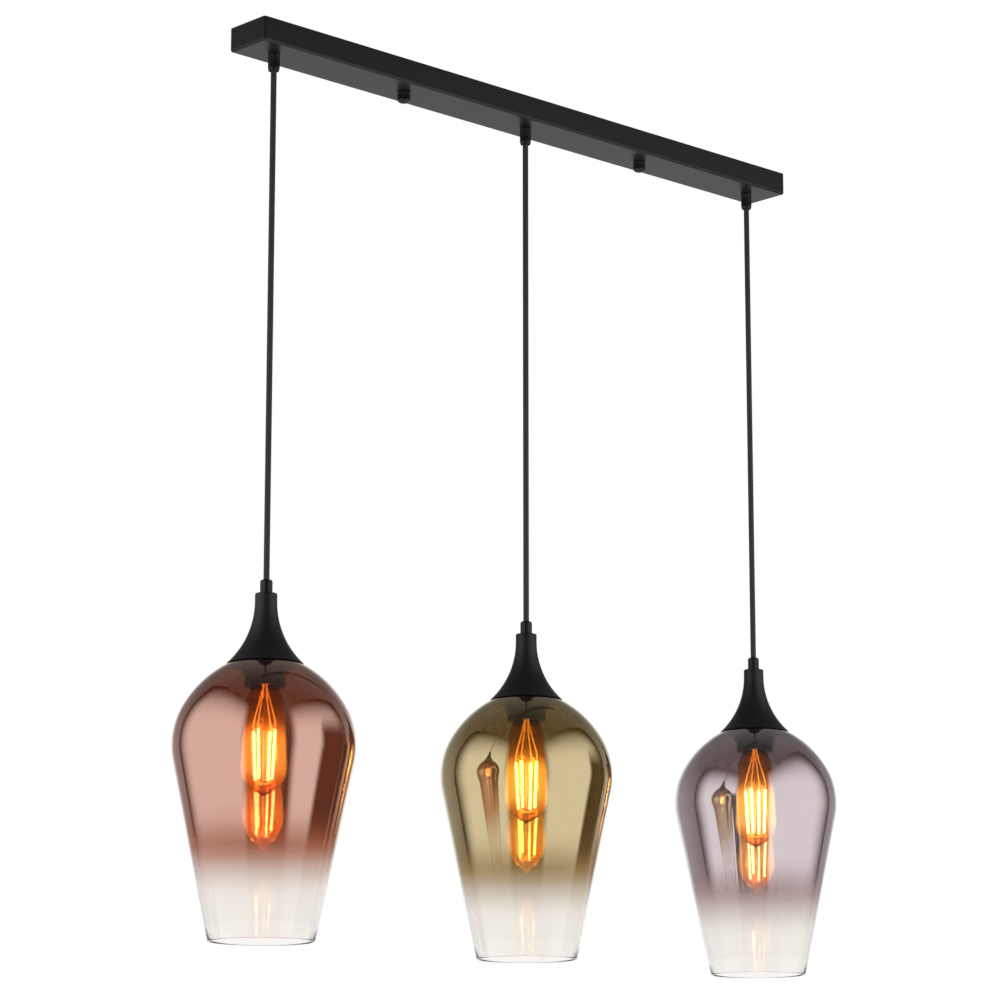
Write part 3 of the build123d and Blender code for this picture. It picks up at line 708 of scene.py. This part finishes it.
def around(axis, angle, reach, height):
    """A point at that height, that far out from an upright axis."""
    return Vector((axis.x + reach * cos(angle), axis.y + reach * sin(angle), height))


for side in sides:
    axis = hang[side]
    shape, wires, sticks = bmesh.new(), bmesh.new(), bmesh.new()
    turned(shape, stem_line, axis, stem_corners)
    stem = piece(f"glass_stem_{side}", shape, f"{side}_bulb", "stem_glass", stem_glass)
    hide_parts(f"bulb_stem_{side}")
    for angle in filament_turn + np.linspace(0, 2 * pi, filament_count, endpoint=False):
        top = around(axis, angle, filament_top_spread, stick_top)
        foot = around(axis, angle, filament_foot_spread, stick_foot)
        along = (foot - top).normalized() * stick_end
        lead = [around(axis, angle, stem_tube_radius / 2, tube_foot + lead_sunk),
                around(axis, angle, stem_tube_radius / 2, tube_foot - lead_straight),
                around(axis, angle, filament_top_spread, stick_top + lead_bend), top, top + along]
        hook = [around(axis, angle, 0, stick_foot - hook_height / 2),
                around(axis, angle, filament_foot_spread * hook_share, stick_foot - hook_height / 2),
                foot, foot - along]
        for route in (lead, hook):
            tube(wires, smooth_line(route), lead_radius, wire_corners)
        tube(sticks, [top + along, foot - along], filament_radius, stick_corners)
    leads = piece(f"lead_wires_{side}", wires, f"{side}_bulb", "nickel", drawn_wire)
    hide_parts(f"bulb_stem_{side}")
    lit = piece(f"filament_sticks_{side}", sticks, f"{side}_bulb", "filament", lit_filament)
    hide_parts(f"bulb_filaments_{side}")
print("Filament sticks:", round((stick_top - stick_foot) / mm), "mm long")

# %% [markdown]
# Screw caps
#
# The bulb's screw cap is rolled brass with a nickel plate. Its rounded thread has a pitch of 3.6 mm, so the
# relief here depends on height as well as on angle. Above the thread are a black insulator and the centre
# contact, which meets the one in the lampholder.

# %% Thread
thread_pitch = 3.6 * mm
thread_depth = 0.9 * mm
thread_rings = 61
cap_skirt = 4.0 * mm
cap_length = 24.0 * mm
cap_radius = (cap_high.x - cap_low.x) / 2
cap_shoulder = cap_low.z + cap_length


def thread(radius, height, angle):
    """Relief of a round thread on the cap's side, which runs out at both ends."""
    if radius != cap_radius:
        return radius
    reach = min((height - cap_low.z - cap_skirt) / thread_pitch, (cap_shoulder - height) / thread_pitch, 1)
    wave = 0.5 - 0.5 * cos(angle - 2 * pi * height / thread_pitch)
    return radius - thread_depth * wave * max(reach, 0)


print("Thread:", round((cap_length - cap_skirt) / thread_pitch, 1), "turns")

# %% Screw caps
cone_corners, contact_corners = 48, 32
cone_radius = 9.0 * mm
contact_radius = 4.0 * mm
contact_height = 1.0 * mm
contact_sunk = 0.2 * mm
contact_bevel, contact_bevel_height = 0.5 * mm, 0.3 * mm
cap_end = cap_shoulder + 1.5 * mm  # where the metal turns in over the insulator
cone_low, cone_edge = cap_shoulder + 1.2 * mm, cap_shoulder + 1.6 * mm
contact_foot = cap_high.z - contact_height
cap_line = [(neck_radius, cap_low.z)]
cap_line += [(cap_radius, height) for height in np.linspace(cap_low.z, cap_shoulder, thread_rings)]
cap_line += [(cone_radius, cap_end), (0, cap_end)]
contact_line = [(contact_radius, contact_foot - contact_sunk)]
contact_line += [(contact_radius, cap_high.z - contact_bevel_height)]
contact_line += [(contact_radius - contact_bevel, cap_high.z), (0, cap_high.z)]
cone_line = [(0, cone_low), (cone_radius, cone_low), (cone_radius, cone_edge)]
cone_line += [(contact_radius, contact_foot), (0, contact_foot)]

for side in sides:
    metal, dark = bmesh.new(), bmesh.new()
    turned(metal, cap_line, hang[side], relief=thread)
    turned(metal, contact_line, hang[side], contact_corners)
    cap = piece(f"screw_cap_{side}", metal, f"{side}_bulb", "nickel", nickel_plate)
    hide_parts(f"bulb_cap_{side}")
    turned(dark, cone_line, hang[side], cone_corners)
    cone = piece(f"cap_insulator_{side}", dark, f"{side}_bulb", "nickel", phenolic)
    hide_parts(f"bulb_cap_{side}")
print("Screw caps:", round(2 * cap_radius / mm, 1), "mm, pitch", round(thread_pitch / mm, 1), "mm")

# %% [markdown]
# Soft panels
#
# The light hangs in front of white, between two tall soft panels that leave a gap for the camera. On curved
# mirror glass those panels are what gives the shades their shape: two bright fields, a dark line in the
# middle where the gap is, and a dark top where nothing is overhead. Area lamps would do, but a card can fade
# towards its edges, as cloth in front of lamps does.

# %% Stage cards
arch_points = 33


def faded(tree, fades, full):
    """A level that falls off towards the four edges of a card, over these shares of its width and height."""
    across = add(tree, "ShaderNodeSeparateXYZ", {"Vector": add(tree, "ShaderNodeTexCoord", {}).outputs["UV"]})
    level = full
    for name, (first, last) in fades.items():
        for edge, inner in ((0.0, first), (1.0, 1.0 - last)):
            fade = add(tree, "ShaderNodeMapRange", {"Value": across.outputs[name], "From Min": edge,
                       "From Max": inner, "To Max": level}, interpolation_type="SMOOTHSTEP")
            level = fade.outputs["Result"]
    return level


def card(name, first, second, low, high, arch, material):
    """An upright stage card with an arched top, seen in reflections and as light, but not by the camera."""
    outline = [(0.0, low), (1.0, low)]
    for share in np.linspace(1, 0, arch_points):
        outline.append((share, high - arch * (1 - sqrt(1 - (2 * share - 1) ** 2))))
    places = [first.lerp(second, share) for share, height in outline]
    corners = [(place.x, place.y, height) for place, (share, height) in zip(places, outline)]
    mesh = bpy.data.meshes.new(name)
    mesh.from_pydata(corners, [], [range(len(corners))])
    unwrap = mesh.uv_layers.new(name="across")
    for loop, (share, height) in zip(unwrap.data, outline):
        loop.uv = (share, (height - low) / (high - low))
    mesh.materials.append(material)
    made = bpy.data.objects.new(name, mesh)
    bpy.context.scene.collection.objects.link(made)
    made.visible_camera = False
    made.visible_transmission = False
    return made


print("Stage cards have", arch_points, "points along their top")

# %% Soft panels
towards_camera = Vector((-sin(camera_bearing), -cos(camera_bearing), 0))
to_the_right = Vector((cos(camera_bearing), -sin(camera_bearing), 0))
panel_near, panel_near_out = 1.5, 0.62  # inner edge: towards the camera, and out to the side
panel_far = {"left": -0.55, "right": -1.0}  # outer edge: behind the light
panel_far_out = 1.45  # outer edge: out to the side
panel_low, panel_high = -1.6, 0.8
panel_glow = 0.93
panel_fades = {"X": (0.14, 0.35), "Y": (0.05, 0.55)}  # shares of width and height at each edge

panel_light = bpy.data.materials.new("soft_panel_light")
panel_light.use_nodes = True
tree = panel_light.node_tree
tree.nodes.clear()
light = add(tree, "ShaderNodeEmission", {"Strength": faded(tree, panel_fades, panel_glow)})
add(tree, "ShaderNodeOutputMaterial", {"Surface": light.outputs["Emission"]})
for name, hand in (("left", -1), ("right", 1)):
    near = towards_camera * panel_near + to_the_right * hand * panel_near_out
    far = towards_camera * panel_far[name] + to_the_right * hand * panel_far_out
    panel = card(f"panel_{name}", near, far, panel_low, panel_high, 0, panel_light)
    print(panel.name, "is", round((far - near).length, 2), "m wide, from", panel_low, "to", panel_high, "m")

# %% [markdown]
# Black cards
#
# Two black cards hang to the right of the left and the middle shade, and only reflections see them. A
# photographer puts such cards beside glass so that its edge doesn't melt into a white background. They thin
# out towards their edges, so that they leave no hard line in the glass.

# %% Black cards
card_reach = 0.19  # metres from the cable, to the right
card_far = -0.05  # one edge: behind the cable
card_near = {"left": 0.1, "middle": 0.06}  # the other edge: towards the camera
card_low, card_high, card_arch = -1.3, -0.62, 0.12
card_fades = {"X": (0.2, 0.2), "Y": (0.01, 0.12)}

# Black felt on card: its pile swallows nearly all light.
black_card = textured_black("black_card", linear("#0c0c0c"), linear("#101010"), roughness=0.9, grain=1.0,
                            depth=0.05)
tree = black_card.node_tree
open_air = add(tree, "ShaderNodeBsdfTransparent", {})
soft_card = add(tree, "ShaderNodeMixShader", {0: faded(tree, card_fades, 1.0), 1: open_air.outputs["BSDF"],
                                              2: tree.nodes["Principled BSDF"].outputs["BSDF"]})
tree.links.new(soft_card.outputs["Shader"], tree.nodes["Material Output"].inputs["Surface"])
for side, near in card_near.items():
    beside = hang[side] + to_the_right * card_reach
    flag = card(f"card_{side}", beside + towards_camera * card_far, beside + towards_camera * near,
                card_low, card_high, card_arch, black_card)
    flag.visible_shadow = False
    flag.visible_diffuse = False
    print(flag.name, "hangs", round(card_reach / mm), "mm from the cable")

# %% [markdown]
# World
#
# The world is the white studio. Seen directly or through glass it is plain white. In reflections it is white
# at the back, behind the light, and falls off overhead and towards the camera, where a studio is dark. The
# surfaces themselves get a plain, lower level from it, so that their colours come out as they are written.

# %% World
diffuse_level = 0.55
mirrored_levels = ((0.0, 0.02), (0.35, 0.03), (0.5, 0.10), (0.92, 0.35), (0.985, 1.0))  # front to back
upright_levels = ((0.0, 0.2), (0.24, 0.2), (0.31, 1.0), (0.57, 1.0), (0.8, 0.4))  # down to up
white = linear("#ffffff")
world = bpy.data.worlds.new("studio")
bpy.context.scene.world = world
world.use_nodes = True
tree = world.node_tree
tree.nodes.clear()
way = add(tree, "ShaderNodeTexCoord", {}).outputs["Generated"]
behind = add(tree, "ShaderNodeVectorMath", {0: way, 1: -towards_camera}, operation="DOT_PRODUCT")
upright = add(tree, "ShaderNodeSeparateXYZ", {"Vector": way})
levels = []
for along, stops in ((behind.outputs["Value"], mirrored_levels), (upright.outputs["Z"], upright_levels)):
    share = add(tree, "ShaderNodeMapRange", {"Value": along, "From Min": -1.0}).outputs["Result"]
    levels.append(add(tree, "ShaderNodeValToRGB", {"Fac": share}, stops=stops).outputs["Color"])
mirrored = add(tree, "ShaderNodeMath", {0: levels[0], 1: levels[1]}, operation="MULTIPLY").outputs["Value"]
ray = add(tree, "ShaderNodeLightPath", {}).outputs
level = add(tree, "ShaderNodeMix", {0: ray["Is Glossy Ray"], 2: diffuse_level, 3: mirrored}).outputs[0]
seen = add(tree, "ShaderNodeMath", {0: ray["Is Camera Ray"], 1: ray["Is Transmission Ray"]},
           operation="MAXIMUM").outputs["Value"]
level = add(tree, "ShaderNodeMix", {0: seen, 2: level, 3: 1.0}).outputs[0]
sky = add(tree, "ShaderNodeBackground", {"Color": white, "Strength": level})
add(tree, "ShaderNodeOutputWorld", {"Surface": sky.outputs["Background"]})
print("World:", diffuse_level, "on surfaces, 1.0 where it is seen")

# %% [markdown]
# Floor
#
# The floor is far below the light. Where the camera sees it, it runs out into the white of the studio at its
# rim, as a paper sweep does, and under the light it keeps the shadow. Reflections lose sight of it towards
# the rim too, so that no horizon cuts across the shades.

# %% Floor finish
floor_radius = 2.2
floor_levels = ((0.0, 0.55), (0.3, 0.6), (0.95, 1.0))  # share of plain white from the middle to the rim
floor_edge = (0.3, 0.95)  # shares of the radius between which reflections lose sight of the floor

# Matt paper from a wide roll: pale, with hardly any gloss.
pale_floor = clouded("pale_floor", linear("#e6e5e3"), linear("#edecea"), grain=120, smooth=0.6, rough=0.8)
tree = pale_floor.node_tree
place = add(tree, "ShaderNodeTexCoord", {}).outputs["Object"]
reach = add(tree, "ShaderNodeVectorMath", {0: place}, operation="LENGTH").outputs["Value"]
share = add(tree, "ShaderNodeMapRange", {"Value": reach, "From Max": floor_radius}).outputs["Result"]
ray = add(tree, "ShaderNodeLightPath", {}).outputs
whiteness = add(tree, "ShaderNodeValToRGB", {"Fac": share}, stops=floor_levels).outputs["Color"]
looked = ray["Is Camera Ray"]
for kind in ("Is Transmission Ray", "Is Glossy Ray"):
    looked = add(tree, "ShaderNodeMath", {0: looked, 1: ray[kind]}, operation="MAXIMUM").outputs["Value"]
seen = add(tree, "ShaderNodeMath", {0: looked, 1: whiteness}, operation="MULTIPLY").outputs["Value"]
plain = add(tree, "ShaderNodeEmission", {"Color": white})
sweep = add(tree, "ShaderNodeMixShader", {0: seen, 1: tree.nodes["Principled BSDF"].outputs["BSDF"],
                                          2: plain.outputs["Emission"]})
loose = add(tree, "ShaderNodeMapRange", {"Value": share, "From Min": floor_edge[0],
            "From Max": floor_edge[1]}, interpolation_type="SMOOTHSTEP").outputs["Result"]
loose = add(tree, "ShaderNodeMath", {0: loose, 1: ray["Is Glossy Ray"]}, operation="MULTIPLY")
open_air = add(tree, "ShaderNodeBsdfTransparent", {})
sweep = add(tree, "ShaderNodeMixShader", {0: loose.outputs["Value"], 1: sweep.outputs["Shader"],
                                          2: open_air.outputs["BSDF"]})
tree.links.new(sweep.outputs["Shader"], tree.nodes["Material Output"].inputs["Surface"])
print("Floor finish:", pale_floor.name)

# %% Floor
floor_z = -1.6
angles = np.linspace(0, 2 * pi, lathe_corners, endpoint=False)
rim = [(floor_radius * cos(angle), floor_radius * sin(angle), 0) for angle in angles]
mesh = bpy.data.meshes.new("floor")
mesh.from_pydata(rim, [], [range(len(rim))])
mesh.materials.append(pale_floor)
floor = bpy.data.objects.new("floor", mesh)
floor.location.z = floor_z
bpy.context.scene.collection.objects.link(floor)
print("Floor:", 2 * floor_radius, "m across, at", floor_z, "m")

# %% [markdown]
# View
#
# Last, the picture is shown without any film curve, so that colours come out as they were written.

# %% View
bpy.context.scene.view_settings.view_transform = "Standard"
